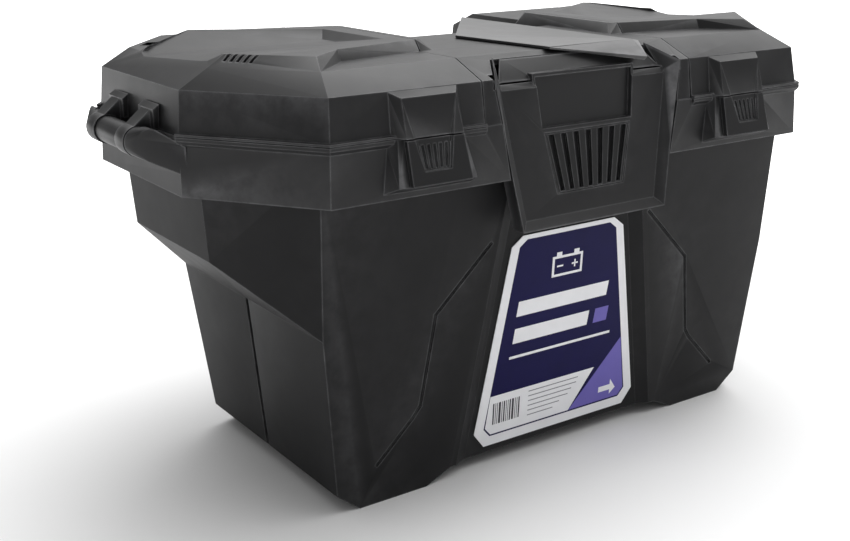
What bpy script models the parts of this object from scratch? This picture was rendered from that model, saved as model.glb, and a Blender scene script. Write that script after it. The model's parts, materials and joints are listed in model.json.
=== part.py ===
"""Battery box: a tapered tub, a fixed rim frame with a saddle bridge, two end lids that swing up
round carry bars, four latch tabs, a front and a rear door panel and a label.

Every size is a multiple of UNIT, so one number sets the scale of the whole box. The origin is the
bottom centre of the tub, +X runs along the length and the front faces -Y.
"""
import math

import bmesh
import bpy
from mathutils import Matrix, Vector

UNIT = 0.18               # metres in one design unit
MM = 0.001 / UNIT         # one millimetre in design units

WALL = 3.0 * MM           # moulded wall
GAP = 0.4 * MM            # clearance between touching pieces
SLACK = 1.0 * MM          # clearance round a piece that moves
FAR = 0.1                 # how far a cutter runs past what it cuts

# heights
ARCH_Z = 0.045            # underside of the tub between the feet
CHAMFER_Z = 0.07          # top of the chamfer under each end
SHOULDER_LOW_Z = 0.63     # where the end flare starts on the long walls
SHOULDER_END_Z = 0.85     # where the end flare starts on the end walls
SKIRT_Z = 1.072           # lower edge of the rim skirt
TUB_Z = 1.2               # top of the tub and its flange
RIM_Z = 1.255             # top of the rim, where the lids rest
LID_Z = RIM_Z + GAP       # lower edge of the lids
WALL_Z = 1.392            # top of the upright lid walls
DECK_Z = 1.449            # flat strip along the top
PLATEAU_Z = 1.485         # raised middle of each lid
REAR_DECK_Z = 1.335       # the bridge falls to this at the back

# half sizes in plan: front corner x and y, end corner x and y
TUB_TOP = (1.011, 0.661, 1.238, 0.303)
SKIRT_LOW = (1.018, 0.730, 1.303, 0.332)
SKIRT_TOP = (1.012, 0.722, 1.297, 0.322)
LID_TOP = (1.000, 0.699, 1.285, 0.316)
DECK_EDGE = (0.956, 0.585, 1.187, 0.310)
RIM_OPENING = (0.950, 0.615, 1.190, 0.270)

LIP = 2.4 * MM            # how far the two lips stand out
LID_LIP_TALL = 1.4 * MM   # height of the lip along the lids
RIM_LIP_TALL = 4.2 * MM   # height of the lip along the rim, with a sloping underside
FLANGE = 3.0 * MM         # thickness of the tub's top flange

STRIP_Y = 0.56            # edge between the deck and the long slopes

# tub: the lower body sits forward of the rim, and the rear wall flares out to meet it
FRONT_FOOT_Y = 0.59       # front wall at the floor
FRONT_LEAN = 0.0593       # how much the front wall leans out per unit of height
REAR_FOOT_Y = 0.311       # rear wall at the floor
REAR_LEAN = 0.13
REAR_FLARE = (0.990, 0.640, 0.875)    # corner where the rear flare turns upright
END_FLARE = ((1.222, -0.319), (1.222, 0.266))   # corners where the end flare turns upright
LOWER_X = 1.000           # half length of the lower body at the shoulder
CHAMFER_X = 0.945         # half length at the top of the end chamfer
FOOT_X = 0.857            # half length at the floor
TUB_MIDDLE_Y = -0.112     # middle of the lower body

PILLAR_IN = 0.023         # depth of the label recess
PILLAR_OUTER = ((0.300, 1.09), (0.487, -0.01))   # half width and height, top then bottom
PILLAR_INNER = ((0.235, 1.09), (0.425, -0.01))
GROOVE_PATH = [(0.362, 0.842), (0.577, 0.633), (0.587, 0.565), (0.626, 0.320), (0.652, 0.284), (0.793, 0.144)]
GROOVE_WIDE = 2.4 * MM
GROOVE_DEEP = 1.2 * MM

BRIDGE_X = 0.452          # half width of the bridge
LID_X = BRIDGE_X + 2 * GAP

BAR_X = 1.362             # axis of the carry bars, which is also the hinge axis of the lids
BAR_Z = 1.222
BAR_R = 0.043
HUB_R = 0.046             # round ends of the frame arms, on the bar side
DISC_X = 1.354            # middle of the disc on the outer face of a frame arm
DISC_R = 0.052
HUB_INNER_Y = 0.165       # inner faces of the frame arms
PIN_R = 0.020             # stub ends of the bars
PIN_LONG = 0.022
NECK_THICK = 0.045        # frame arm between the rim corner and the round end

ARM_Y = 0.125             # lid arms, either side of the middle
ARM_HALF = 0.034
ARM_WIDE_HALF = 0.058
ARM_RING_R = 0.048

# latch tabs and the bumps behind them
LATCH_BASE_TOP = (0.550, 0.802)  # x limits of a bump against the wall, at the top of the wall
LATCH_BASE_LOW = (0.509, 0.848)  # and at the bottom of the skirt
LATCH_FACE = (0.578, 0.775)      # x limits of the front face at its top edge
LATCH_FACE_LOW = (0.562, 0.780)  # and at its lower edge
LATCH_TOP_Z = 1.374
LATCH_LOW_Z = 1.120
LATCH_TOP_Y = 0.733
LATCH_LOW_Y = 0.805
TAB_THICK = 0.0185
GRIP_TOP = (0.624, 0.734, 0.763, 1.239)   # x limits, y and z of the grip's top edge
GRIP_LOW = (0.638, 0.727, 0.785, 1.162)
GRIP_SLOTS = 5
GRIP_DEEP = 0.9 * MM
LATCH_PIVOT = (0.675, 0.767, RIM_Z - GAP / 2)

# doors: half widths and heights
DOOR_BACK = 0.055         # depth of the door panels
DOOR_WIDE_TOP = 0.406
DOOR_WIDE_LOW = 0.318
CREST_Z = 1.391
CREST_LOW_Z = 0.896
CREST_Y = 0.704
CREST_LOW_Y = 0.756
DOOR_UP = (0.335, 0.595, 1.446)       # upper corners of the front door, on the slope
TRAY_TOP = (0.363, 0.671, 1.360)
TRAY_LOW = (0.288, 0.728, 0.926)
TRAY_UP = (0.290, 0.583, 1.449)
DOOR_REAR_TOP = 0.396
REAR_CREST_Z = 1.318
FRONT_DOOR_PIVOT = (0.0, -0.572, 1.43)
REAR_DOOR_PIVOT = (0.0, 0.7115, 1.318)
RECESS = ((0.213, 1.38), (0.197, 1.214))  # half width and height of the finger recess
FRONT_RECESS_DEEP = 3.4 * MM
REAR_RECESS_DEEP = 2.2 * MM
GRILLE_CORNERS = ((0.190, 1.198), (0.148, 0.996))
GRILLE_SLOTS = 7

VENT_SLOTS = 5

PLATE_TOP = 1.460
PLATE_LOW = DECK_Z + GAP + 0.001
PLATE_CORNERS = ((-0.088, -0.587), (0.285, -0.587), (0.270, 0.385), (-0.142, -0.135))

LABEL = [(0.209, 0.840), (0.256, 0.805), (0.378, 0.130), (0.333, 0.072)]
LABEL_THICK = 0.5 * MM

SCREWS = [(0.75, 0.681), (-0.75, 0.681), (0.75, -0.681), (-0.75, -0.681), (1.257, 0.0), (-1.257, 0.0)]
SCREW_R = 1.5 * MM
SCREW_HEAD_R = 3.4 * MM

ROUND = 32                # sides of the round pieces
WELD = 2e-6               # corners closer than this are one corner

collection = bpy.data.collections.new("battery_box")


def clear_scene():
    for item in list(bpy.data.objects):
        bpy.data.objects.remove(item, do_unlink=True)
    bpy.context.scene.collection.children.link(collection)


def add_object(name, bm):
    """Scale a mesh from design units to metres and give it an object."""
    bmesh.ops.scale(bm, vec=(UNIT, UNIT, UNIT), verts=bm.verts)
    bmesh.ops.recalc_face_normals(bm, faces=bm.faces)
    mesh = bpy.data.meshes.new(name)
    bm.to_mesh(mesh)
    bm.free()
    item = bpy.data.objects.new(name, mesh)
    collection.objects.link(item)
    return item


def tidy(bm):
    """Weld doubles, drop the edges across flat faces and anything left loose."""
    bmesh.ops.remove_doubles(bm, verts=bm.verts, dist=WELD)
    bmesh.ops.dissolve_degenerate(bm, edges=bm.edges, dist=WELD)
    bmesh.ops.dissolve_limit(bm, angle_limit=math.radians(0.1), verts=bm.verts, edges=bm.edges)
    loose = [v for v in bm.verts if not v.link_faces]
    bmesh.ops.delete(bm, geom=loose, context="VERTS")


def hull(name, points):
    """Closed solid round a set of corner points."""
    bm = bmesh.new()
    for point in points:
        bm.verts.new(point)
    bmesh.ops.convex_hull(bm, input=bm.verts)
    tidy(bm)
    return add_object(name, bm)


def box(name, x, y, z):
    """Box between pairs of limits."""
    return hull(name, [(a, b, c) for a in x for b in y for c in z])


def rod(name, centre, radius, length, axis="Y", sides=ROUND):
    """Round rod with its middle at centre."""
    bm = bmesh.new()
    bmesh.ops.create_cone(bm, cap_ends=True, segments=sides, radius1=radius, radius2=radius, depth=length)
    if axis == "Y":
        bmesh.ops.rotate(bm, verts=bm.verts, matrix=Matrix.Rotation(math.pi / 2, 3, "X"))
    bmesh.ops.translate(bm, verts=bm.verts, vec=centre)
    return add_object(name, bm)


def boolean(target, tool, operation):
    """Join or cut with an exact Boolean and throw the tool away."""
    modifier = target.modifiers.new("shape", "BOOLEAN")
    modifier.operation = operation
    modifier.solver = "EXACT"
    modifier.object = tool
    bpy.context.view_layer.update()
    evaluated = target.evaluated_get(bpy.context.evaluated_depsgraph_get())
    mesh = bpy.data.meshes.new_from_object(evaluated)
    target.modifiers.clear()
    bm = bmesh.new()
    bm.from_mesh(mesh)
    tidy(bm)
    bm.to_mesh(mesh)
    bm.free()
    mesh.name = target.name
    target.data = mesh
    bpy.data.objects.remove(tool, do_unlink=True)
    return target


def join(target, *tools):
    for tool in tools:
        boolean(target, tool, "UNION")
    return target


def cut(target, *tools):
    for tool in tools:
        boolean(target, tool, "DIFFERENCE")
    return target


def inset(plan, amount):
    """Plan with each wall moved inwards by amount (outwards if negative)."""
    front_x, front_y, end_x, end_y = plan
    a = front_y - end_y
    b = end_x - front_x
    reach = a * front_x + b * front_y - amount * math.hypot(a, b)
    new_y = front_y - amount
    new_x = end_x - amount
    return ((reach - b * new_y) / a, new_y, new_x, (reach - a * new_x) / b)


def ring(plan, z):
    """The eight corners of a plan at one height."""
    front_x, front_y, end_x, end_y = plan
    corners = [(front_x, front_y), (end_x, end_y)]
    return [(i * x, j * y, z) for x, y in corners for i in (-1, 1) for j in (-1, 1)]


def half_ring(plan, z, side, inner_x):
    """The corners of one end of a plan, closed off at inner_x."""
    front_x, front_y, end_x, end_y = plan
    corners = [(inner_x, front_y), (front_x, front_y), (end_x, end_y)]
    return [(side * x, j * y, z) for x, y in corners for j in (-1, 1)]


def both_x(points):
    return [(i * x, y, z) for x, y, z in points for i in (-1, 1)]


def wall_y(z):
    """Half depth of the front tub wall at a height."""
    return FRONT_FOOT_Y + FRONT_LEAN * z


def rear_y(z):
    """Depth of the rear wall of the lower body at a height."""
    return REAR_FOOT_Y + REAR_LEAN * z


def chamfer_y(x):
    """Half depth of the rim's corner walls, carried on past the end wall."""
    front_x, front_y, end_x, end_y = (0.5 * (p + q) for p, q in zip(SKIRT_LOW, SKIRT_TOP))
    return end_y - (x - end_x) * (front_y - end_y) / (end_x - front_x)


# ---------------------------------------------------------------- tub

def pillar(name, extra):
    """The shallow trapezoid recess in the front wall, grown inwards by extra."""
    points = []
    for x, z in PILLAR_OUTER:
        points += both_x([(x + extra, -(wall_y(z) + MM), z)])
    for x, z in PILLAR_INNER:
        points += both_x([(x + extra, -(wall_y(z) - PILLAR_IN - extra), z)])
    return hull(name, points)


def groove(name, mirror, start, end):
    """One straight run of the shallow line down the front wall."""
    (x1, z1), (x2, z2) = start, end
    along = Vector((x2 - x1, z2 - z1)).normalized()
    across = Vector((-along.y, along.x)) * GROOVE_WIDE / 2
    points = []
    for x, z in ((x1 - along.x * MM, z1 - along.y * MM), (x2 + along.x * MM, z2 + along.y * MM)):
        for way in (-1, 1):
            px = mirror * (x + way * across.x)
            pz = z + way * across.y
            points += [(px, -(wall_y(pz) - GROOVE_DEEP), pz), (px, -(wall_y(pz) + FAR), pz)]
    return hull(name, points)


def tub_shell(name, thin, top):
    """Lower body and the flare round its top, all walls moved inwards by thin."""
    bottom = ARCH_Z + thin if thin else 0.0
    foot_x = FOOT_X + (ARCH_Z - thin if thin else 0.0)
    lower = [(foot_x, 0.0, bottom), (CHAMFER_X - thin, 0.0, CHAMFER_Z + thin), (LOWER_X - thin, 0.0, SHOULDER_LOW_Z)]
    body = [(x, y, z) for x, _, z in lower for y in (thin - wall_y(z), rear_y(z) - thin)]
    shoulder = body[-2:]
    body += [(TUB_TOP[0] - thin, thin - TUB_TOP[1], top), (LOWER_X - thin, rear_y(top) - thin, top)]
    lift = thin * math.tan(math.radians(22.5))
    flare = [(x, y, z + lift) for x, y, z in shoulder]
    flare += [(x - thin, math.copysign(abs(y) - thin / 3, y), SHOULDER_END_Z + lift) for x, y in END_FLARE]
    flare.append((REAR_FLARE[0] - thin, REAR_FLARE[1] - thin, REAR_FLARE[2] + lift))
    tub = hull(name, both_x(body))
    return join(tub, hull("flare", both_x(flare) + ring(inset(TUB_TOP, thin), top)))


def end_groove(mirror):
    """Shallow line down the middle of an end wall."""
    points = []
    for y in (TUB_MIDDLE_Y - 2.0 * MM, TUB_MIDDLE_Y + 2.0 * MM):
        for x, z in ((LOWER_X, SHOULDER_LOW_Z + 0.01), (CHAMFER_X, CHAMFER_Z - 0.01)):
            points += [(mirror * (x - 1.5 * MM), y, z), (mirror * (x + FAR), y, z - FAR * (z > 0.5))]
    return hull("end_line", points)


def make_tub():
    tub = tub_shell("tub", 0.0, TUB_Z)
    flange_plan = inset(SKIRT_TOP, WALL + GAP + 0.6 * MM)
    flange = hull("flange", ring(flange_plan, TUB_Z) + ring(flange_plan, TUB_Z - FLANGE))
    for side in (-1, 1):
        cut(flange, box("notch", (-0.47, 0.47), (side * TUB_TOP[1], side * 0.9), (TUB_Z - FAR, TUB_Z + FAR)))
    join(tub, flange)
    cut(tub, pillar("pillar", 0.0))
    cavity = tub_shell("cavity", WALL, TUB_Z + FAR)
    cut(cavity, pillar("pillar_back", WALL))
    cut(tub, cavity)
    arch = both_x([(0.592, y, -0.001) for y in (-0.8, 0.8)] + [(0.491, y, ARCH_Z) for y in (-0.8, 0.8)])
    cut(tub, hull("arch", arch))
    for mirror in (-1, 1):
        cut(tub, end_groove(mirror))
        for start, end in zip(GROOVE_PATH, GROOVE_PATH[1:]):
            cut(tub, groove("groove", mirror, start, end))
    return tub


# ---------------------------------------------------------------- frame

def lip(name, high, tall, under):
    """Ledge that stands out along the long and corner walls; its outer edge is tall less under high."""
    low = high - tall
    outer, inner = inset(SKIRT_TOP, -LIP), inset(SKIRT_TOP, -0.25 * LIP)
    ledge = hull(name, ring(outer, high) + ring(outer, low + under) + ring(inner, low))
    core = inset(SKIRT_TOP, WALL / 2)
    cut(ledge, hull("core", ring(core, low - FAR) + ring(core, high + FAR)))
    cut(ledge, box("bridge_break", (-LID_X, LID_X), (-0.9, 0.9), (low - FAR, high + FAR)))
    cut(ledge, box("end_break", (-1.5, 1.5), (-SKIRT_TOP[3], SKIRT_TOP[3]), (low - FAR, high + FAR)))
    return ledge


def bump_base(z):
    """x limits of a latch bump against the wall at a height."""
    t = (WALL_Z - z) / (WALL_Z - SKIRT_Z)
    return [high + t * (low - high) for high, low in zip(LATCH_BASE_TOP, LATCH_BASE_LOW)]


def latch_y(z):
    """Front face of a latch at a height."""
    return LATCH_TOP_Y + (LATCH_LOW_Y - LATCH_TOP_Y) * (LATCH_TOP_Z - z) / (LATCH_TOP_Z - LATCH_LOW_Z)


def latch_x(z):
    """x limits of a latch's front face at a height."""
    t = (LATCH_TOP_Z - z) / (LATCH_TOP_Z - LATCH_LOW_Z)
    return [high + t * (low - high) for high, low in zip(LATCH_FACE, LATCH_FACE_LOW)]


def rim_bump(side, front):
    """Bump on the rim behind a latch tab, with a flank either side of it."""
    points = [(x, SKIRT_LOW[1] - 0.02, z) for z in (SKIRT_Z + 0.012, RIM_Z) for x in bump_base(z)]
    for z, spread in ((RIM_Z, 0.016), (LATCH_LOW_Z - 0.004, 0.034)):
        left, right = latch_x(z)
        y = latch_y(z) - TAB_THICK - GAP
        points += [(left - spread, y - 0.006, z), (right + spread, y - 0.006, z), (left, y, z), (right, y, z)]
    return hull("rim_bump", [(side * x, front * y, z) for x, y, z in points])


def bridge_profile(x, thin, base):
    """Cross-section of the saddle bridge between -x and x."""
    front = [(-(SKIRT_TOP[1] - thin), base), (-(LID_TOP[1] - thin), WALL_Z - 0.4 * thin),
             (-(STRIP_Y - 0.4 * thin), DECK_Z - thin)]
    back = [(0.0, DECK_Z - thin), (0.700 - thin, REAR_DECK_Z - 0.8 * thin), (SKIRT_TOP[1] - thin, base)]
    return both_x([(x, y, z) for y, z in front + back])


def frame_arm(side, front):
    """Arm that carries one end of a bar: a plate in line with the corner wall, ending in a disc."""
    turns = [2 * math.pi * step / ROUND for step in range(ROUND)]
    along_x = (SKIRT_TOP[2] - SKIRT_TOP[0]) / math.hypot(SKIRT_TOP[2] - SKIRT_TOP[0], SKIRT_TOP[1] - SKIRT_TOP[3])
    disc = [(DISC_X + DISC_R * math.cos(a) * along_x, BAR_Z + DISC_R * math.sin(a)) for a in turns]
    outer = [(x, chamfer_y(x), z) for x, z in disc]
    inner = [(BAR_X + HUB_R * math.cos(a), HUB_INNER_Y, BAR_Z + HUB_R * math.sin(a)) for a in turns]
    arm = hull("hub", [(side * x, front * y, z) for x, y, z in outer + inner])
    neck = []
    for x, z in disc + [(SKIRT_TOP[2] - 0.01, 1.136), (SKIRT_TOP[2] - 0.01, 1.226)]:
        y = chamfer_y(x)
        neck += [(side * x, front * y, z), (side * x, front * max(y - NECK_THICK, HUB_INNER_Y), z)]
    join(arm, hull("neck", neck))
    bore_from = HUB_INNER_Y - 0.01
    bore_to = HUB_INNER_Y + PIN_LONG + 2 * GAP
    middle = (side * BAR_X, front * (bore_from + bore_to) / 2, BAR_Z)
    return cut(arm, rod("bore", middle, PIN_R + GAP, bore_to - bore_from, sides=16))


def cut_door_openings(frame):
    """Space for both doors in the bridge and the skirt."""
    wide = DOOR_WIDE_TOP + SLACK
    low = both_x([(0.345 + SLACK, y, SKIRT_Z - 0.03) for y in (-0.632, -0.85)])
    cut(frame, hull("door_opening", both_x([(wide, y, CREST_Z + 0.012) for y in (-0.632, -0.85)]) + low))
    edge = [(DOOR_UP[0] + SLACK, -(DOOR_UP[1] - SLACK)), (wide, -CREST_Y), (wide, -0.85)]
    cut(frame, hull("slope_opening", both_x([(x, y, z) for x, y in edge for z in (1.36, 1.60)])))
    low = both_x([(0.345 + SLACK, y, SKIRT_Z - 0.03) for y in (0.632, 0.85)])
    high = both_x([(DOOR_REAR_TOP + SLACK, y, REAR_CREST_Z + SLACK) for y in (0.632, 0.85)])
    cut(frame, hull("rear_opening", high + low))


def make_frame():
    frame = hull("rim_frame", ring(SKIRT_LOW, SKIRT_Z) + ring(SKIRT_TOP, RIM_Z))
    low_in = inset(SKIRT_LOW, WALL)
    top_in = inset(SKIRT_TOP, WALL)
    cut(frame, hull("channel", ring(low_in, SKIRT_Z - 0.02) + ring(top_in, TUB_Z + GAP)))
    join(frame, lip("lip", RIM_Z, RIM_LIP_TALL, RIM_LIP_TALL / 2))
    for side in (-1, 1):
        for front in (-1, 1):
            join(frame, rim_bump(side, front))
    join(frame, hull("bridge", bridge_profile(BRIDGE_X, 0.0, 1.23)))
    cut(frame, hull("bridge_inside", bridge_profile(BRIDGE_X + FAR, WALL, 1.2)))
    cut(frame, hull("opening", ring(RIM_OPENING, 1.0) + ring(RIM_OPENING, RIM_Z + 0.02)))
    for side in (-1, 1):
        end = [(0.390, -0.362, 1.440), (BRIDGE_X, -0.372, 1.440), (0.425, -0.311, PLATEAU_Z),
               (BRIDGE_X, -0.336, PLATEAU_Z), (0.430, 0.170, PLATEAU_Z), (BRIDGE_X, 0.200, PLATEAU_Z),
               (0.395, 0.240, 1.400), (BRIDGE_X, 0.260, 1.400)]
        join(frame, hull("end_block", [(side * x, y, z) for x, y, z in end]))
    cut_door_openings(frame)
    for side in (-1, 1):
        for front in (-1, 1):
            join(frame, frame_arm(side, front))
    for x, y in SCREWS:
        cut(frame, rod("hole", (x, y, RIM_Z), SCREW_R + GAP, 0.3, axis="Z", sides=12))
    return frame


def make_screws(tub):
    for index, (x, y) in enumerate(SCREWS):
        cut(tub, rod("hole", (x, y, TUB_Z), SCREW_R + GAP, 0.2, axis="Z", sides=12))
        low = TUB_Z - FLANGE - 2 * MM
        high = RIM_Z + GAP
        screw = rod(f"frame_screw_{index + 1}", (x, y, (low + high + MM) / 2), SCREW_R, high + MM - low,
                    axis="Z", sides=12)
        head = rod("head", (x, y, high + 1.1 * MM), SCREW_HEAD_R, 2.2 * MM, axis="Z", sides=16)
        join(screw, head)
        for wide, deep in ((2.2 * MM, 0.35 * MM), (0.35 * MM, 2.2 * MM)):
            cut(screw, box("slot", (x - wide, x + wide), (y - deep, y + deep), (high + 1.2 * MM, high + FAR)))


def make_bars():
    for side, name in ((-1, "bar_left"), (1, "bar_right")):
        half = HUB_INNER_Y - GAP
        bar = rod(name, (side * BAR_X, 0, BAR_Z), BAR_R, 2 * half)
        join(bar, rod("pin", (side * BAR_X, 0, BAR_Z), PIN_R, 2 * (HUB_INNER_Y + PIN_LONG), sides=16))


# ---------------------------------------------------------------- lids

def scoop(side, front):
    """Faceted hollow that leads down the face of a latch to its grip."""
    points = [(x, y, LATCH_TOP_Z) for x in LATCH_FACE for y in (LATCH_TOP_Y + 0.0005, LATCH_LOW_Y)]
    for x1, x2, y, z in (GRIP_TOP, GRIP_LOW):
        points += [(x1, y, z), (x2, y, z)]
    points += [(0.605, 0.850, 1.150), (0.752, 0.850, 1.150)]
    return hull("scoop", [(side * x, front * y, z) for x, y, z in points])


def lid_bump(side, front):
    """Upper part of a latch, moulded into the lid's wall."""
    points = [(x, latch_y(z), z) for z in (LATCH_TOP_Z, LID_Z) for x in latch_x(z)]
    points += [(x, LID_TOP[1] - 0.003, z) for z in (LID_Z, WALL_Z) for x in bump_base(z)]
    return hull("bump", [(side * x, front * y, z) for x, y, z in points])


def plateau(side):
    """Raised middle of a lid, in two convex pieces."""
    low = DECK_Z - 0.01
    outer = [(0.790, -0.432, low), (DECK_EDGE[0], -DECK_EDGE[1], DECK_Z), (1.187, -0.310, DECK_Z),
             (1.187, 0.205, DECK_Z), (0.960, 0.455, DECK_Z), (0.790, 0.340, low),
             (0.795, -0.409, PLATEAU_Z), (0.931, -0.519, PLATEAU_Z), (1.128, -0.307, PLATEAU_Z),
             (1.122, 0.184, PLATEAU_Z), (0.935, 0.386, PLATEAU_Z), (0.795, 0.300, PLATEAU_Z)]
    inner = [(LID_X, -0.372, low), (0.790, -0.432, low), (0.790, 0.340, low), (LID_X, 0.260, low),
             (LID_X, -0.336, PLATEAU_Z), (0.795, -0.409, PLATEAU_Z), (0.795, 0.300, PLATEAU_Z),
             (LID_X, 0.200, PLATEAU_Z)]
    raised = hull("plateau", [(side * x, y, z) for x, y, z in outer])
    return join(raised, hull("plateau_in", [(side * x, y, z) for x, y, z in inner]))


def pocket(side):
    """Shallow hollow in the top of a lid, open towards its end, with a gently sloping rear side."""
    foot = [(1.107, 0.129, 1.451), (0.571, 0.071, 1.455), (0.570, -0.017, 1.455), (1.250, 0.140, 1.437),
            (1.250, -0.260, 1.460)]
    brim = [(1.128, 0.182), (0.941, 0.374), (0.538, 0.126), (0.526, -0.257), (0.600, -0.300), (1.110, -0.300)]
    points = foot + [(x, y, z) for x, y in brim for z in (PLATEAU_Z, PLATEAU_Z + 0.02)]
    return hull("pocket", [(side * x, y, z) for x, y, z in points])


def vents(side, front):
    """Row of slanted slots near the top of a corner slope."""
    start = Vector((1.125, 0.323, 1.463))
    step = (Vector((1.072, 0.391, 1.463)) - start) / (VENT_SLOTS - 1)
    along = step.normalized()
    out = Vector((along.y, -along.x, 0))
    slots = []
    for index in range(VENT_SLOTS):
        centre = start + step * index
        points = []
        for reach, slant in ((-0.016, -0.005), (0.016, 0.005)):
            for half in (-0.0052, 0.0052):
                corner = centre + out * reach + along * (half - slant)
                points += [(corner.x, corner.y, 1.40), (corner.x, corner.y, 1.55)]
        slots.append(hull("vent", [(side * x, front * y, z) for x, y, z in points]))
    return slots


def make_lid(name, side):
    lid = hull(name, half_ring(SKIRT_TOP, LID_Z, side, LID_X) + half_ring(LID_TOP, WALL_Z, side, LID_X))
    deck = half_ring(LID_TOP, WALL_Z, side, LID_X) + half_ring(DECK_EDGE, DECK_Z, side, LID_X)
    deck = [(x, math.copysign(STRIP_Y, y), z) if z == DECK_Z and abs(x) == LID_X else (x, y, z) for x, y, z in deck]
    join(lid, hull("deck", deck), plateau(side))
    for front in (-1, 1):
        join(lid, lid_bump(side, front))
    inner_x = LID_X + WALL
    low = half_ring(inset(SKIRT_TOP, WALL), LID_Z - 0.01, side, inner_x)
    high = half_ring(inset(LID_TOP, WALL), WALL_Z - 0.4 * WALL, side, inner_x)
    ceiling = half_ring(inset(DECK_EDGE, 0.6 * WALL), DECK_Z - WALL, side, inner_x)
    room = join(hull("room", low + high), hull("roof", high + ceiling))
    cut(lid, room, pocket(side))
    for front in (-1, 1):
        cut(lid, scoop(side, front), *vents(side, front))
    ledge = lip("ledge", LID_Z + LID_LIP_TALL, LID_LIP_TALL, 0.0)
    cut(ledge, box("other", (-side * 2, side * LID_X), (-1, 1), (1, 1.6)))
    for front in (-1, 1):
        near, far = (front * (ARM_Y + way * (ARM_WIDE_HALF + GAP)) for way in (-1, 1))
        cut(ledge, box("arm_break", (side * 1.2, side * 1.4), (near, far), (1, 1.6)))
    join(lid, ledge)
    return lid


def make_latch(name, side, front):
    """Spring tab below the lid edge, with a ribbed grip."""
    top = RIM_Z - GAP
    plate = [(x, latch_y(z) - back, z) for z in (top, LATCH_LOW_Z) for x in latch_x(z) for back in (0, TAB_THICK)]
    tab = hull(name, [(side * x, front * y, z) for x, y, z in plate])
    cut(tab, scoop(side, front))
    for index in range(GRIP_SLOTS):
        share = (index + 0.5) / GRIP_SLOTS
        points = []
        for (x1, x2, y, z), inwards in ((GRIP_TOP, -0.004), (GRIP_LOW, 0.004)):
            x = x1 + (x2 - x1) * share
            for half in (-0.9 * MM, 0.9 * MM):
                points += [(x + half, y - GRIP_DEEP, z + inwards), (x + half, y + 0.03, z + inwards)]
        cut(tab, hull("slot", [(side * x, front * y, z) for x, y, z in points]))
    return tab


def make_lid_arm(name, side, front):
    """T-shaped arm from the lid's end wall down to a ring round the carry bar."""
    wall_x = SKIRT_TOP[2] + GAP
    wide = [(wall_x - 0.005 * (z > 1.3), y, z) for z in (1.333, LID_Z) for y in (-ARM_WIDE_HALF, ARM_WIDE_HALF)]
    wide += [(1.316, y, z) for z in (1.318, LID_Z) for y in (-ARM_WIDE_HALF, ARM_WIDE_HALF)]
    arm = hull(name, [(side * x, front * ARM_Y + y, z) for x, y, z in wide])
    reach = [(x, y, z) for x, z in ((1.310, 1.3205), (1.316, 1.250)) for y in (-ARM_HALF, ARM_HALF)]
    reach += [(BAR_X - 0.02, y, BAR_Z + ARM_RING_R) for y in (-ARM_HALF, ARM_HALF)]
    reach += [(BAR_X + 0.012, y, BAR_Z + ARM_RING_R - 0.004) for y in (-ARM_HALF, ARM_HALF)]
    reach += [(BAR_X - 0.03, y, BAR_Z) for y in (-ARM_HALF, ARM_HALF)]
    join(arm, hull("reach", [(side * x, front * ARM_Y + y, z) for x, y, z in reach]))
    centre = (side * BAR_X, front * ARM_Y, BAR_Z)
    join(arm, rod("ring", centre, ARM_RING_R, 2 * ARM_HALF))
    cut(arm, rod("bore", centre, BAR_R + GAP, 1.0))
    return arm


# ---------------------------------------------------------------- doors and top plate

def tray_y(z):
    """Sunken face of a door at a height."""
    return TRAY_TOP[1] + (TRAY_LOW[1] - TRAY_TOP[1]) * (TRAY_TOP[2] - z) / (TRAY_TOP[2] - TRAY_LOW[2])


def crest_y(z):
    return CREST_Y + (CREST_LOW_Y - CREST_Y) * (CREST_Z - z) / (CREST_Z - CREST_LOW_Z)


def door_wall(name, front, top_x, top_z, extra=None):
    """Upright part of a door: a slab, joined to any extra piece, with a bevelled tray in its face."""
    low_z = CREST_LOW_Z
    slab = [(top_x, crest_y(top_z), top_z), (DOOR_WIDE_LOW, CREST_LOW_Y, low_z),
            (top_x, crest_y(top_z) - DOOR_BACK, top_z - 0.030), (DOOR_WIDE_LOW, CREST_LOW_Y - DOOR_BACK, low_z)]
    door = hull(name, both_x([(x, front * y, z) for x, y, z in slab]))
    if extra:
        join(door, extra)
    floor_z = top_z - (CREST_Z - TRAY_TOP[2])
    floor_x = top_x - (DOOR_WIDE_TOP - TRAY_TOP[0])
    floor = [(floor_x, tray_y(floor_z), floor_z), TRAY_LOW]
    rim = [(top_x, crest_y(top_z), top_z), (DOOR_WIDE_LOW, CREST_LOW_Y, low_z)]
    tray = list(floor)
    for (fx, fy, fz), (rx, ry, rz) in zip(floor, rim):
        tray.append((2 * rx - fx, 2 * ry - fy, 2 * rz - fz))
    cut(door, hull("tray", both_x([(x, front * y, z) for x, y, z in tray])))
    return door


def add_pull(door, front, top_z, backing_z, deep):
    """Finger recess and grille pocket in the face of a door, which is thickened behind the recess."""
    (x_high, _), (x_low, z_low) = RECESS
    recess, backing = [], []
    for x, z in ((x_high, top_z), (x_low, z_low)):
        recess += both_x([(x, tray_y(z) - deep, z), (x, tray_y(z) + FAR, z)])
    for x, z in ((x_high + 2 * MM, backing_z), (x_low + 2 * MM, z_low - 1.5 * MM)):
        backing += both_x([(x, tray_y(z) - deep - 1.8 * MM, z), (x, tray_y(z) - 1 * MM, z)])
    join(door, hull("backing", [(x, front * y, z) for x, y, z in backing]))
    cut(door, hull("recess", [(x, front * y, z) for x, y, z in recess]))
    pocket_points = []
    for x, z in GRILLE_CORNERS:
        pocket_points += both_x([(x, tray_y(z) - 2.6 * MM, z), (x, tray_y(z) + FAR, z)])
    cut(door, hull("grille_pocket", [(x, front * y, z) for x, y, z in pocket_points]))
    return door


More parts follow.
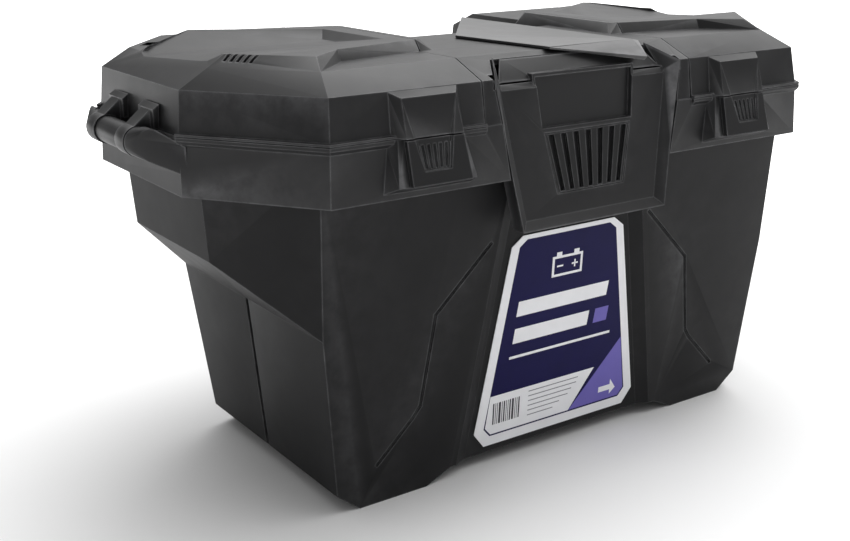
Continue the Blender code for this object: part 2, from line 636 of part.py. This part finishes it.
def make_front_door():
    middle_x, middle_y = (DOOR_UP[0] + DOOR_WIDE_TOP) / 2, (DOOR_UP[1] + CREST_Y) / 2
    slope = [(DOOR_WIDE_TOP, CREST_Y, CREST_Z), (DOOR_WIDE_TOP, CREST_Y, CREST_Z - 0.03),
             DOOR_UP, (middle_x, middle_y, CREST_Z - 0.02),
             (DOOR_UP[0], DOOR_UP[1], CREST_Z + 0.014)]
    slope = hull("slope", both_x([(x, -y, z) for x, y, z in slope]))
    door = door_wall("front_door", -1, DOOR_WIDE_TOP, CREST_Z, slope)
    tray = [TRAY_TOP, TRAY_UP, (0.4075, 0.7055, 1.3925), (0.3365, 0.5950, 1.4485), (0.345, 0.66, 1.50),
            (0.355, 0.675, 1.345)]
    cut(door, hull("slope_tray", both_x([(x, -y, z) for x, y, z in tray])))
    for side in (-1, 1):
        slot = [(x, y, z) for x, y in ((0.330, 0.583), (0.296, 0.583), (0.350, 0.650)) for z in (1.30, 1.50)]
        cut(door, hull("slot", [(side * x, -y, z) for x, y, z in slot]))
    return add_pull(door, -1, CREST_Z - 0.012, CREST_Z, FRONT_RECESS_DEEP)


def make_rear_door():
    door = door_wall("rear_door", 1, DOOR_REAR_TOP, REAR_CREST_Z)
    return add_pull(door, 1, REAR_CREST_Z - 0.04, REAR_CREST_Z, REAR_RECESS_DEEP)


def make_grille(name, front):
    """Slotted insert in the face of a door."""
    points = []
    for x, z in GRILLE_CORNERS:
        inner = x - GAP
        level = z - GAP if z > 1.1 else z + GAP
        points += both_x([(inner, tray_y(level) - 2.2 * MM, level), (inner, tray_y(level) - 0.2 * MM, level)])
    grille = hull(name, [(x, front * y, z) for x, y, z in points])
    for index in range(GRILLE_SLOTS):
        share = index / (GRILLE_SLOTS - 1) * 2 - 1
        slot = []
        for x, z, half_wide in ((0.162, 1.191, 0.0125), (0.124, 1.004, 0.0095)):
            for half in (-half_wide, half_wide):
                slot += [(share * x + half, tray_y(z) - 5 * MM, z), (share * x + half, tray_y(z) + FAR, z)]
        cut(grille, hull("slot", [(x, front * y, z) for x, y, z in slot]))
    return grille


def make_top_plate():
    """Thin cover over the bridge with a slanted back edge and a wedge that hangs over the front door."""
    plate = hull("top_plate", [(x, y, z) for x, y in PLATE_CORNERS for z in (PLATE_TOP, PLATE_LOW)])
    (left, front), (right, _) = PLATE_CORNERS[:2]
    behind = front + 2 * MM
    under = ((front, PLATE_LOW), (behind, PLATE_LOW + 0.003), (behind, PLATE_TOP))
    brow = [(x, y, z) for x in (left, right) for y, z in under]
    brow += [(left, front, PLATE_TOP - 0.002), (right, front, PLATE_TOP), (0.312, -0.590, PLATE_LOW + 0.002),
             (0.275, -0.676, 1.410), (0.270, -0.668, 1.398)]
    return join(plate, hull("brow", brow))


# ---------------------------------------------------------------- label

def make_label():
    points = []
    for x, z in LABEL:
        y = wall_y(z) - PILLAR_IN + 0.3 * MM
        points += both_x([(x, -y, z), (x, -y - LABEL_THICK, z)])
    return hull("label", points)


# ---------------------------------------------------------------- materials

MATERIALS = {
    "shell_black": ((0.030, 0.030, 0.032), 0.55),
    "bar_black": ((0.022, 0.022, 0.024), 0.50),
    "grille_black": ((0.015, 0.015, 0.016), 0.60),
    "label_print": ((0.030, 0.025, 0.150), 0.45),
    "screw_steel": ((0.560, 0.560, 0.580), 0.35),
}


def material(name):
    colour, roughness = MATERIALS[name]
    made = bpy.data.materials.get(name) or bpy.data.materials.new(name)
    made.use_nodes = True
    shader = made.node_tree.nodes["Principled BSDF"]
    shader.inputs["Base Color"].default_value = (*colour, 1)
    shader.inputs["Roughness"].default_value = roughness
    return made


def slot_for(name):
    if name.startswith("bar"):
        return "bar_black"
    if "grille" in name:
        return "grille_black"
    if name == "label":
        return "label_print"
    if "screw" in name:
        return "screw_steel"
    return "shell_black"


def set_origin(item, pivot):
    """Put the origin of a moving piece on its joint's axis."""
    offset = Vector(pivot) * UNIT
    item.data.transform(Matrix.Translation(-offset))
    item.location = offset


def main():
    clear_scene()
    tub = make_tub()
    make_frame()
    make_screws(tub)
    make_bars()
    for side, end in ((-1, "left"), (1, "right")):
        set_origin(make_lid(f"lid_{end}", side), (side * BAR_X, 0, BAR_Z))
        for front, face in ((-1, "front"), (1, "rear")):
            tab_x, tab_y, tab_z = LATCH_PIVOT
            set_origin(make_latch(f"latch_{end}_{face}", side, front), (side * tab_x, front * tab_y, tab_z))
            set_origin(make_lid_arm(f"lid_arm_{end}_{face}", side, front), (side * BAR_X, 0, BAR_Z))
    for door in (make_front_door(), make_grille("front_grille", -1)):
        set_origin(door, FRONT_DOOR_PIVOT)
    for door in (make_rear_door(), make_grille("rear_grille", 1)):
        set_origin(door, REAR_DOOR_PIVOT)
    make_top_plate()
    make_label()
    for item in collection.objects:
        item.data.materials.clear()
        item.data.materials.append(material(slot_for(item.name)))


main()
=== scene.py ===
"""Looks of the battery box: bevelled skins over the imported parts, procedural plastics, the printed label,
and a pale studio."""
import json
import math

import bmesh
import bpy
from mathutils import Matrix, Vector


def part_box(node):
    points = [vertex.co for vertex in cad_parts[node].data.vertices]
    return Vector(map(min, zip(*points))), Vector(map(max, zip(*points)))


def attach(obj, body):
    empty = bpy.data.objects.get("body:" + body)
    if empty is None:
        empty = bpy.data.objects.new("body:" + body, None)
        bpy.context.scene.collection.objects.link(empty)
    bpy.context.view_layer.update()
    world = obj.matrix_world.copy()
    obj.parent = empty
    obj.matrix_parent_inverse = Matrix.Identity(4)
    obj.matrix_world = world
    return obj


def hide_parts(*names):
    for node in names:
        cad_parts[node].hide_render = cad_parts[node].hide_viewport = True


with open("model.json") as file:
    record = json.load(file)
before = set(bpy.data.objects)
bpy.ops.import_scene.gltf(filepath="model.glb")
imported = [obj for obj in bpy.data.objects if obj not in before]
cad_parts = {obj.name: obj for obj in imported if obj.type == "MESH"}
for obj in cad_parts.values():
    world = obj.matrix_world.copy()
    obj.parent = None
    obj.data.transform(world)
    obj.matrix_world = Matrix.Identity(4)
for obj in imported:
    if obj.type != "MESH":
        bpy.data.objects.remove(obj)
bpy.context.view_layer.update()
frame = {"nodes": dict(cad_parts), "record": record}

UNIT = 0.18                        # metres in one design unit of the box
MM = 0.001

# camera
CAMERA_AT = (-2.68658, -3.60624, 1.94103)    # in design units
CAMERA_AZIMUTH = -34.765           # degrees round the box, 0 looks along +Y
CAMERA_ELEVATION = 17.561
CAMERA_ROLL = -0.158
CAMERA_LENS = 50.39                # mm
SENSOR = 36                        # mm

# light, in metres and watts
BRIGHT_SIDE = (0.45, 0.25, 0.86)   # where the studio light mostly comes from
SKY_DIM = 0.36
SKY_BRIGHT = 2.60
SKY_TURN = (0.50, 1.00)            # cosines to BRIGHT_SIDE between which the sky turns from dim to bright
LAMP_AT = (0.35, 0.25, 1.2)
LAMP_TARGET = (0, 0, 0.2)
LAMP_SIZE = (1.2, 0.9)
LAMP_POWER = 9
FLOOR_SIZE = 12
SWEEP_FROM = 0.45                  # the floor starts to shine this far from the box,
SWEEP_TO = 1.3                     # and shines fully this far

# finish of the mouldings, the ink and the screws; a pattern's scale is in noise cells per metre
CLOUD_SCALE = 30.0
PATCH_SCALE = 38.0
# the next scale breaks up the paler edges, which are mostly a painted highlight with a little wear
WEAR_AND_HIGHLIGHT_SCALE = 90.0
GRAIN_SCALE = 2600.0
INK_CLOUD_SCALE = 60.0
INK_PEEL_SCALE = 700.0
SCREW_CLOUD_SCALE = 400.0
FLOOR_CLOUD_SCALE = 3.0
GRAIN_HEIGHT = 0.1 * MM
GRAIN_STRENGTH = 0.05
# paler edges on the mouldings: mostly a painted highlight along the edges, with a little wear
WEAR_AND_HIGHLIGHT_TONE = (0.110, 0.110, 0.114)
WEAR_AND_HIGHLIGHT_WIDTH = 1.2 * MM
WEAR_AND_HIGHLIGHT_LEAN = 0.10                 # how far a normal leans, as 1 - cosine, where an edge gets the full painted highlight and wear
ROUND_SEGMENTS = 3
ROUND_ANGLE = 18                   # degrees; flatter edges stay as they are
TUB_ROUND = 1.6 * MM
PANEL_ROUND = 1.5 * MM
LID_ROUND = 1.3 * MM
RIM_ROUND = 1.0 * MM
PLATE_ROUND = 0.9 * MM
ARM_ROUND = 0.8 * MM
BAR_ROUND = 0.6 * MM
SCREW_ROUND = 0.2 * MM

# raised rim round three sides of a latch grip, in design units (x, y, z)
GRIP_OUTLINE = [(0.622, 0.7665, 1.236), (0.634, 0.7858, 1.170), (0.642, 0.7885, 1.160),
                (0.723, 0.7885, 1.160), (0.731, 0.7858, 1.170), (0.738, 0.7665, 1.236)]
GRIP_WIRE = 0.35 * MM

# label print, in design units (x, z) on the label's face
LABEL_TILT = 0.0593                # the label leans out by this much per unit of height
INK_THICK = 0.04 * MM
INK_ROUGH = 0.38
FIELD = [(-0.222, 0.800), (-0.190, 0.824), (0.190, 0.824), (0.222, 0.800),
         (0.337, 0.140), (0.309, 0.108), (-0.309, 0.108), (-0.337, 0.140)]
STRIP = [(-0.314, 0.262), (0.150, 0.262), (0.045, 0.114), (-0.306, 0.114), (-0.331, 0.142)]
TRIANGLE = [(0.060, 0.114), (0.306, 0.114), (0.331, 0.142), (0.297, 0.358)]
SPLIT = [(0.045, 0.114), (0.058, 0.114), (0.172, 0.262), (0.150, 0.262)]
ARROW = [(0.205, 0.148), (0.262, 0.148), (0.262, 0.130), (0.290, 0.152),
         (0.262, 0.192), (0.262, 0.170), (0.205, 0.170)]
TITLE_LEAN = 0.15                  # sideways per unit of height
TITLE_UPPER = (0.545, 0.600)       # upper row of blocks, from z to z
TITLE_LOWER = (0.445, 0.500)       # lower row of blocks
UNDERLINE = (0.388, 0.398)
CELL = (0.070, 0.662, 0.738)       # half width, foot and top of the battery outline
CELL_LINE = (0.010, 0.009)         # width of its line at the sides, and at the foot and top
POLE_X = 0.040                     # the two poles on top of the battery
POLE_TALL = 0.014
POLE_HALF = 0.012
SIGN_X = 0.034                     # minus at -SIGN_X, plus at SIGN_X
SIGN_Z = 0.700
SIGN_HALF = 0.014                  # half the length of a stroke
STROKE_HALF = 0.003                # half its thickness
STRIPE_WIDTHS = (2, 1, 1, 3, 1, 2, 1, 1, 2, 3, 1, 1, 2)     # upright stripes, in STRIPE_UNIT
STRIPE_UNIT = 0.0030
STRIPE_GAP = 0.0048
STRIPE_START = -0.300
STRIPE_SPAN = (0.150, 0.232)
ROW_LENGTHS = (0.235, 0.228, 0.205, 0.190, 0.150, 0.120)    # lying lines, from the top down
ROW_START = -0.140
ROW_TOP = 0.240
ROW_PITCH = 0.019
ROW_TALL = 0.0035

BODY_OF = {node: body for body, nodes in frame["record"]["behaviour"]["bodies"].items() for node in nodes}


# ---------------------------------------------------------------- materials

def new_material(name):
    made = bpy.data.materials.new(name)
    made.use_nodes = True
    nodes = made.node_tree.nodes
    return made, nodes, made.node_tree.links, nodes["Principled BSDF"]


def noise(nodes, links, coords, scale, detail=3.0, rough=0.5):
    node = nodes.new("ShaderNodeTexNoise")
    node.inputs["Scale"].default_value = scale
    node.inputs["Detail"].default_value = detail
    node.inputs["Roughness"].default_value = rough
    links.new(coords.outputs["Object"], node.inputs["Vector"])
    return node.outputs["Fac"]


def remap(nodes, links, value, low, high, from_low=0.3, from_high=0.7):
    """Value taken from its own range to low..high; noise mostly lies between 0.3 and 0.7."""
    node = nodes.new("ShaderNodeMapRange")
    node.inputs["From Min"].default_value = from_low
    node.inputs["From Max"].default_value = from_high
    node.inputs["To Min"].default_value = low
    node.inputs["To Max"].default_value = high
    links.new(value, node.inputs["Value"])
    return node.outputs["Result"]


def dot_product(nodes, links, first, second=None):
    node = nodes.new("ShaderNodeVectorMath")
    node.operation = "DOT_PRODUCT"
    links.new(first, node.inputs[0])
    if second is not None:
        links.new(second, node.inputs[1])
    return node


def edge_mask(nodes, links, radius, lean):
    """1 on edges, where a highlight and a little wear are painted, and 0 on flat faces, from how far a
    rounded normal leans from the true one.
    """
    bevel = nodes.new("ShaderNodeBevel")
    bevel.inputs["Radius"].default_value = radius
    geometry = nodes.new("ShaderNodeNewGeometry")
    dot = dot_product(nodes, links, bevel.outputs["Normal"], geometry.outputs["True Normal"])
    return remap(nodes, links, dot.outputs["Value"], 1.0, 0.0, 1.0 - lean, 1.0)


def mix(nodes, links, share, first, second):
    """Colour between first and second, each a plain colour or another node's output."""
    node = nodes.new("ShaderNodeMix")
    node.data_type = "RGBA"
    links.new(share, node.inputs["Factor"])
    for socket, colour in (("A", first), ("B", second)):
        target = [s for s in node.inputs if s.name == socket and s.type == "RGBA"][0]
        if isinstance(colour, tuple):
            target.default_value = (*colour, 1)
        else:
            links.new(colour, target)
    return [s for s in node.outputs if s.type == "RGBA"][0]


def clouded(nodes, links, coords, scale, first, second):
    """Soft mottling between two close tones."""
    cloud = noise(nodes, links, coords, scale, 4.0)
    return mix(nodes, links, remap(nodes, links, cloud, 0.0, 1.0), first, second)


def roughen(nodes, links, shader, height, strength, distance):
    """Fine relief on the surface from a height pattern."""
    bump = nodes.new("ShaderNodeBump")
    bump.inputs["Strength"].default_value = strength
    bump.inputs["Distance"].default_value = distance
    links.new(height, bump.inputs["Height"])
    links.new(bump.outputs["Normal"], shader.inputs["Normal"])


def moulded_plastic(name, dark, light, rough, level):
    """Satin moulded plastic: cloudy tone, fine spark-eroded grain, edges painted paler, mostly as a painted
    highlight with a little wear.
    """
    made, nodes, links, shader = new_material(name)
    coords = nodes.new("ShaderNodeTexCoord")
    tone = clouded(nodes, links, coords, CLOUD_SCALE, dark, light)
    # edges painted paler, mostly a painted highlight with a little wear, broken up by noise
    wear_and_highlight_noise = noise(nodes, links, coords, WEAR_AND_HIGHLIGHT_SCALE, 5.0, 0.6)
    wear_and_highlight = nodes.new("ShaderNodeMath")
    wear_and_highlight.operation = "MULTIPLY"
    links.new(edge_mask(nodes, links, WEAR_AND_HIGHLIGHT_WIDTH, WEAR_AND_HIGHLIGHT_LEAN), wear_and_highlight.inputs[0])
    links.new(remap(nodes, links, wear_and_highlight_noise, 0.35, 1.0, 0.35, 0.65), wear_and_highlight.inputs[1])
    links.new(mix(nodes, links, wear_and_highlight.outputs[0], tone, WEAR_AND_HIGHLIGHT_TONE), shader.inputs["Base Color"])
    patch = noise(nodes, links, coords, PATCH_SCALE, 5.0, 0.6)
    links.new(remap(nodes, links, patch, rough - 0.02, rough + 0.03), shader.inputs["Roughness"])
    grain = noise(nodes, links, coords, GRAIN_SCALE, 2.0)
    roughen(nodes, links, shader, grain, GRAIN_STRENGTH, GRAIN_HEIGHT)
    shader.inputs["IOR"].default_value = 1.5
    shader.inputs["Specular IOR Level"].default_value = level
    return made


def printed(name, colour, other):
    """Ink on film: faint mottling and a light orange-peel."""
    made, nodes, links, shader = new_material(name)
    coords = nodes.new("ShaderNodeTexCoord")
    links.new(clouded(nodes, links, coords, INK_CLOUD_SCALE, colour, other), shader.inputs["Base Color"])
    peel = noise(nodes, links, coords, INK_PEEL_SCALE, 2.0)
    links.new(remap(nodes, links, peel, INK_ROUGH - 0.05, INK_ROUGH + 0.05), shader.inputs["Roughness"])
    roughen(nodes, links, shader, peel, 0.04, 0.05 * MM)
    shader.inputs["Specular IOR Level"].default_value = 0.12
    return made


def steel(name):
    made, nodes, links, shader = new_material(name)
    coords = nodes.new("ShaderNodeTexCoord")
    cloud = noise(nodes, links, coords, SCREW_CLOUD_SCALE, 4.0)
    tone = mix(nodes, links, remap(nodes, links, cloud, 0.0, 1.0), (0.42, 0.42, 0.44), (0.58, 0.58, 0.60))
    links.new(tone, shader.inputs["Base Color"])
    links.new(remap(nodes, links, cloud, 0.28, 0.42), shader.inputs["Roughness"])
    shader.inputs["Metallic"].default_value = 1.0
    return made


SHELL = moulded_plastic("satin_shell", (0.0118, 0.0118, 0.0124), (0.0132, 0.0132, 0.0139),
                        rough=0.42, level=0.20)
TUB = moulded_plastic("satin_tub", (0.0098, 0.0098, 0.0103), (0.0110, 0.0110, 0.0115),
                      rough=0.52, level=0.13)
DOOR = moulded_plastic("satin_door", (0.0132, 0.0132, 0.0138), (0.0148, 0.0148, 0.0155),
                       rough=0.40, level=0.20)
COVER = moulded_plastic("satin_cover", (0.0200, 0.0200, 0.0210), (0.0240, 0.0240, 0.0250),
                        rough=0.36, level=0.5)
BAR = moulded_plastic("satin_bar", (0.0100, 0.0100, 0.0106), (0.0125, 0.0125, 0.0132),
                      rough=0.42, level=0.3)
GRILLE = moulded_plastic("matte_grille", (0.0080, 0.0080, 0.0085), (0.0100, 0.0100, 0.0105),
                         rough=0.55, level=0.2)
STEEL = steel("screw_steel")
WHITE_INK = printed("label_white", (0.80, 0.80, 0.82), (0.85, 0.85, 0.87))
NAVY_INK = printed("label_navy", (0.0025, 0.0015, 0.046), (0.0035, 0.0022, 0.054))
GREY_INK = printed("label_grey", (0.045, 0.045, 0.055), (0.060, 0.060, 0.070))
PALE_INK = printed("label_pale", (0.200, 0.200, 0.220), (0.230, 0.230, 0.250))
LAVENDER_INK = printed("label_lavender", (0.150, 0.125, 0.430), (0.165, 0.138, 0.455))


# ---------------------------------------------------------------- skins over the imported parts

def add_object(name, data):
    made = bpy.data.objects.new(name, data)
    bpy.context.scene.collection.objects.link(made)
    return made


def add_mesh(name, bm, material):
    """New object of one material from a finished bmesh, which is freed."""
    mesh = bpy.data.meshes.new(name)
    bm.to_mesh(mesh)
    bm.free()
    mesh.materials.append(material)
    return add_object(name, mesh)


def skin(node, name, material, width=0.0):
    """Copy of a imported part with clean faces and, where a width is given, rounded edges, in its place."""
    source = frame["nodes"][node]
    bm = bmesh.new()
    bm.from_mesh(source.data)
    bmesh.ops.remove_doubles(bm, verts=bm.verts, dist=2e-6)
    bmesh.ops.dissolve_limit(bm, angle_limit=math.radians(0.3), verts=bm.verts, edges=bm.edges)
    made = add_mesh(name, bm, material)
    made.matrix_world = source.matrix_world.copy()
    if width:
        made.data.shade_smooth()
        bevel = made.modifiers.new("round", "BEVEL")
        bevel.width = width
        bevel.segments = ROUND_SEGMENTS
        bevel.limit_method = "ANGLE"
        bevel.angle_limit = math.radians(ROUND_ANGLE)
        bevel.harden_normals = True
        bevel.miter_outer = "MITER_ARC"
    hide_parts(node)
    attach(made, BODY_OF[node])


def grip_border(end, face):
    """Raised rim round the sides and foot of a latch grip."""
    side = -1 if end == "left" else 1
    front = -1 if face == "front" else 1
    curve = bpy.data.curves.new(f"grip_rim_{end}_{face}", "CURVE")
    curve.dimensions = "3D"
    curve.bevel_depth = GRIP_WIRE
    curve.bevel_resolution = 2
    line = curve.splines.new("POLY")
    line.points.add(len(GRIP_OUTLINE) - 1)
    for point, (x, y, z) in zip(line.points, GRIP_OUTLINE):
        point.co = (side * x * UNIT, front * y * UNIT, z * UNIT, 1)
    curve.use_fill_caps = True
    curve.materials.append(SHELL)
    made = add_object(f"grip_rim_{end}_{face}", curve)
    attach(made, BODY_OF[f"latch_{end}_{face}"])


def make_skins():
    skin("tub", "tub_shell", TUB, TUB_ROUND)
    skin("rim_frame", "rim_shell", SHELL, RIM_ROUND)
    skin("top_plate", "cover_plate", COVER, PLATE_ROUND)
    for end in ("left", "right"):
        skin(f"lid_{end}", f"lid_{end}_shell", SHELL, LID_ROUND)
        skin(f"bar_{end}", f"bar_{end}_skin", BAR, BAR_ROUND)
        for face in ("front", "rear"):
            grip_border(end, face)
            skin(f"latch_{end}_{face}", f"latch_{end}_{face}_tab", SHELL)
            skin(f"lid_arm_{end}_{face}", f"lid_arm_{end}_{face}_skin", BAR, ARM_ROUND)
    for face in ("front", "rear"):
        skin(f"{face}_door", f"{face}_panel", DOOR, PANEL_ROUND)
        skin(f"{face}_grille", f"{face}_grille_skin", GRILLE)
    skin("label", "label_film", WHITE_INK)
    for index in range(1, 7):
        skin(f"frame_screw_{index}", f"screw_{index}", STEEL, SCREW_ROUND)


# ---------------------------------------------------------------- label print

def print_patch(name, outline, material, layer):
    """Thin patch of ink on the label, from its outline; a higher layer lies over a lower one."""
    label_low, label_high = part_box("label")
    bm = bmesh.new()
    verts = []
    for x, z in outline:
        y = label_low[1] + LABEL_TILT * (label_high[2] - z * UNIT) - layer * INK_THICK
        verts.append(bm.verts.new((x * UNIT, y, z * UNIT)))
    grown = bmesh.ops.extrude_face_region(bm, geom=[bm.faces.new(verts)])
    back = [item for item in grown["geom"] if isinstance(item, bmesh.types.BMVert)]
    bmesh.ops.translate(bm, verts=back, vec=(0, 0.9 * INK_THICK, 0))
    bmesh.ops.recalc_face_normals(bm, faces=bm.faces)
    made = add_mesh(name, bm, material)
    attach(made, BODY_OF["label"])


def block_patch(name, x, z, material, layer, lean=0.0):
    """Upright rectangle from x to x and z to z, sheared sideways by lean per unit of height."""
    middle = (z[0] + z[1]) / 2
    corners = [(x[0], z[0]), (x[1], z[0]), (x[1], z[1]), (x[0], z[1])]
    print_patch(name, [(a + lean * (b - middle), b) for a, b in corners], material, layer)


def around(middle, half):
    return middle - half, middle + half


def print_title():
    """Plain blocks with an underline in place of a title."""
    block_patch("ink_title_1", (-0.215, 0.205), TITLE_UPPER, WHITE_INK, 2, TITLE_LEAN)
    block_patch("ink_title_2", (-0.225, 0.120), TITLE_LOWER, WHITE_INK, 2, TITLE_LEAN)
    block_patch("ink_title_3", (0.150, 0.215), TITLE_LOWER, LAVENDER_INK, 2, TITLE_LEAN)
    block_patch("ink_subtitle", (-0.240, 0.235), UNDERLINE, WHITE_INK, 2)


def print_battery():
    """Plain outline of a battery with a minus and a plus, in place of a badge."""
    half, foot, top = CELL
    side_line, end_line = CELL_LINE
    block_patch("ink_cell", around(0, half), (foot, top), WHITE_INK, 2)
    inside = (foot + end_line, top - end_line)
    block_patch("ink_cell_inside", around(0, half - side_line), inside, NAVY_INK, 3)
    stroke = around(SIGN_Z, STROKE_HALF)
    for side in (-1, 1):
        pole_x = around(side * POLE_X, POLE_HALF)
        sign_x = around(side * SIGN_X, SIGN_HALF)
        block_patch(f"ink_pole_{side + 2}", pole_x, (top, top + POLE_TALL), WHITE_INK, 2)
        block_patch(f"ink_sign_{side + 2}", sign_x, stroke, WHITE_INK, 4)
    block_patch("ink_sign_up", around(SIGN_X, STROKE_HALF), around(SIGN_Z, SIGN_HALF), WHITE_INK, 4)


def print_lines():
    """Spread of plain stripes, and rows of faint lines, on the strip."""
    x = STRIPE_START
    for index, width in enumerate(STRIPE_WIDTHS):
        step = STRIPE_UNIT * width
        block_patch(f"ink_bar_{index + 1}", (x, x + step), STRIPE_SPAN, GREY_INK, 3)
        x += step + STRIPE_GAP
    for index, length in enumerate(ROW_LENGTHS):
        z = ROW_TOP - ROW_PITCH * index
        block_patch(f"ink_row_{index + 1}", (ROW_START, ROW_START + length), (z, z + ROW_TALL), PALE_INK, 3)


def make_print():
    """Dark field inside a pale margin, with plain shapes on it and no lettering."""
    print_patch("ink_frame_line", FIELD, NAVY_INK, 1)
    print_patch("ink_strip", STRIP, WHITE_INK, 2)
    print_patch("ink_triangle", TRIANGLE, LAVENDER_INK, 2)
    print_patch("ink_split", SPLIT, WHITE_INK, 2)
    print_title()
    print_battery()
    print_lines()
    print_patch("ink_arrow", ARROW, WHITE_INK, 3)


# ---------------------------------------------------------------- studio

def make_lamp():
    """Large soft lamp above the box."""
    lamp = bpy.data.lights.new("top", "AREA")
    lamp.shape = "RECTANGLE"
    lamp.size, lamp.size_y = LAMP_SIZE
    lamp.energy = LAMP_POWER
    made = add_object("top", lamp)
    made.location = LAMP_AT
    made.rotation_euler = (Vector(LAMP_TARGET) - Vector(LAMP_AT)).to_track_quat("-Z", "Y").to_euler()


def make_floor():
    """Pale floor that turns into a lit white sweep away from the box."""
    bpy.ops.mesh.primitive_plane_add(size=FLOOR_SIZE)
    floor = bpy.context.object
    floor.name = "floor"
    made, nodes, links, shader = new_material("pale_floor")
    coords = nodes.new("ShaderNodeTexCoord")
    cloud = noise(nodes, links, coords, FLOOR_CLOUD_SCALE)
    tone = mix(nodes, links, remap(nodes, links, cloud, 0.0, 1.0), (0.84, 0.84, 0.84), (0.87, 0.87, 0.87))
    links.new(tone, shader.inputs["Base Color"])
    shader.inputs["Roughness"].default_value = 0.7
    shader.inputs["Specular IOR Level"].default_value = 0.2
    distance = nodes.new("ShaderNodeVectorMath")
    distance.operation = "LENGTH"
    links.new(coords.outputs["Object"], distance.inputs[0])
    away = remap(nodes, links, distance.outputs["Value"], 0.0, 1.0, SWEEP_FROM, SWEEP_TO)
    shader.inputs["Emission Color"].default_value = (1, 1, 1, 1)
    links.new(away, shader.inputs["Emission Strength"])
    floor.data.materials.append(made)


def make_world():
    """Soft box of light: bright above and behind to the right, dim in front and to the left."""
    world = bpy.data.worlds.new("studio")
    bpy.context.scene.world = world
    world.use_nodes = True
    nodes, links = world.node_tree.nodes, world.node_tree.links
    coords = nodes.new("ShaderNodeTexCoord")
    dot = dot_product(nodes, links, coords.outputs["Generated"])
    dot.inputs[1].default_value = Vector(BRIGHT_SIDE).normalized()
    bright = remap(nodes, links, dot.outputs["Value"], SKY_DIM, SKY_BRIGHT, *SKY_TURN)
    background = nodes["Background"]
    background.inputs["Color"].default_value = (1, 1, 1, 1)
    links.new(bright, background.inputs["Strength"])


def make_camera():
    data = bpy.data.cameras.new("camera")
    data.lens = CAMERA_LENS
    data.sensor_width = SENSOR
    data.clip_start = 0.01
    camera = add_object("camera", data)
    azimuth = math.radians(CAMERA_AZIMUTH)
    rise = math.radians(CAMERA_ELEVATION)
    back = Vector((math.sin(azimuth) * math.cos(rise), -math.cos(azimuth) * math.cos(rise), math.sin(rise)))
    turn = (-back).to_track_quat("-Z", "Y").to_matrix() @ Matrix.Rotation(math.radians(CAMERA_ROLL), 3, "Z")
    camera.matrix_world = Matrix.Translation(Vector(CAMERA_AT) * UNIT) @ turn.to_4x4()
    bpy.context.scene.camera = camera
    bpy.context.scene.view_settings.view_transform = "Standard"


make_skins()
make_print()
make_floor()
make_world()
make_lamp()
make_camera()
